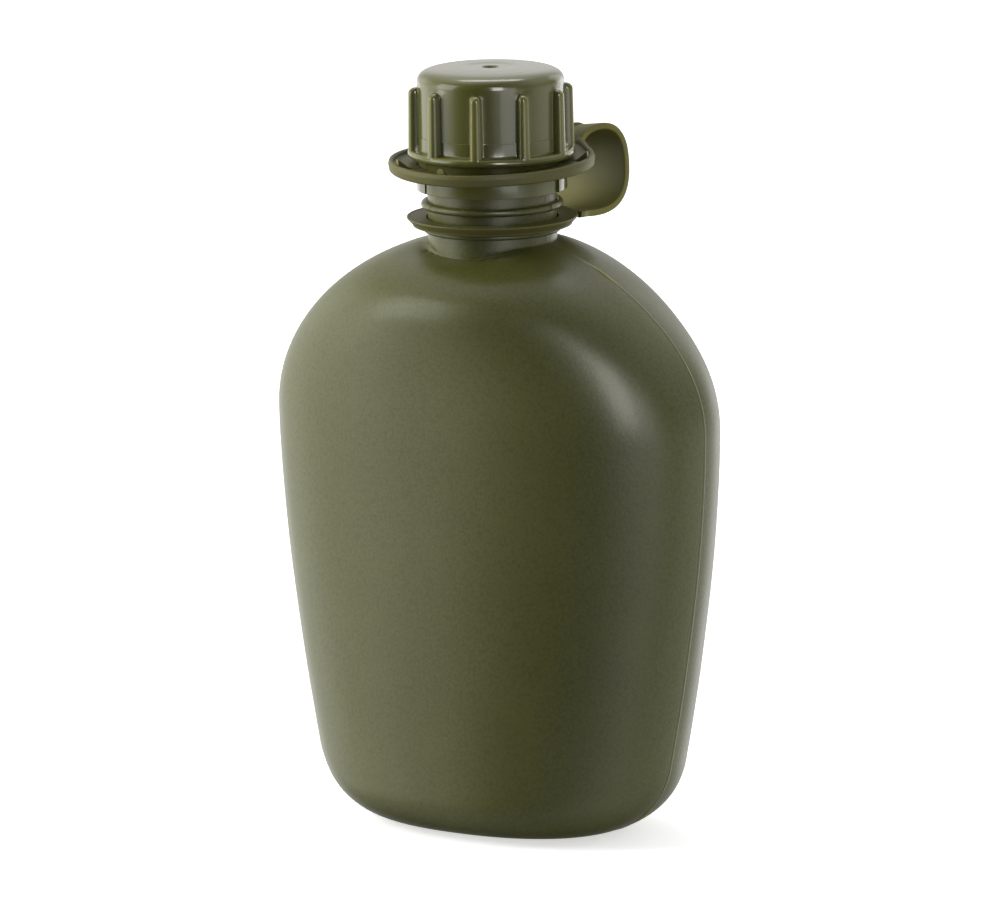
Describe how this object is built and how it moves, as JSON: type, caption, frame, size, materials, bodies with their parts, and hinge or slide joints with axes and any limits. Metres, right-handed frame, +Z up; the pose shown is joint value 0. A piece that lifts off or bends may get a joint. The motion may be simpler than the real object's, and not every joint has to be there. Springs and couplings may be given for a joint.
{
  "type": "field canteen",
  "caption": "Flattened plastic field canteen with a round neck, a ribbed screw cap and a looped retaining strap.",
  "frame": {"origin": "where the neck's axis meets the plane of the base", "axes": "+Z up along the neck's axis, -Y towards the front face, +X towards the right-hand side seen from the front"},
  "size_m": [0.134, 0.0789, 0.2086],
  "materials": {
    "body_plastic": "fine leather grain, satin, olive",
    "cap_plastic": "smooth, half gloss, olive",
    "strap_plastic": "smooth satin, dark olive",
    "gasket_rubber": "matt, dark grey"
  },
  "bodies": {
    "bottle": {"bottle": "body_plastic", "bottle_neck": "body_plastic"},
    "seal": {"cap_gasket": "gasket_rubber"},
    "cap": {"screw_cap": "cap_plastic"},
    "strap": {"strap_neck_ring": "strap_plastic", "strap_band": "strap_plastic"},
    "cap_ring": {"strap_cap_ring": "strap_plastic"}
  },
  "joints": [
    {"name": "cap_lift", "type": "slide", "parent": "bottle", "child": "seal", "axis": [0, 0, 1], "range_m": [0, 0.01251]},
    {"name": "cap_turn", "type": "hinge", "parent": "seal", "child": "cap", "pos_m": [0, 0, 0.19], "axis": [0, 0, 1], "range_deg": [0, 900]},
    {"name": "strap_swivel", "type": "hinge", "parent": "bottle", "child": "strap", "pos_m": [0, 0, 0.166], "axis": [0, 0, 1], "continuous": true},
    {"name": "ring_lift", "type": "slide", "parent": "strap", "child": "cap_ring", "axis": [0, 0, 1], "range_m": [0, 0.01251], "deforming": ["strap_band"]}
  ],
  "couplings": [
    {"joint": "cap_lift", "follows": "cap_turn", "m_per_rad": 0.00079577},
    {"joint": "ring_lift", "follows": "cap_turn", "m_per_rad": 0.00079577}
  ]
}
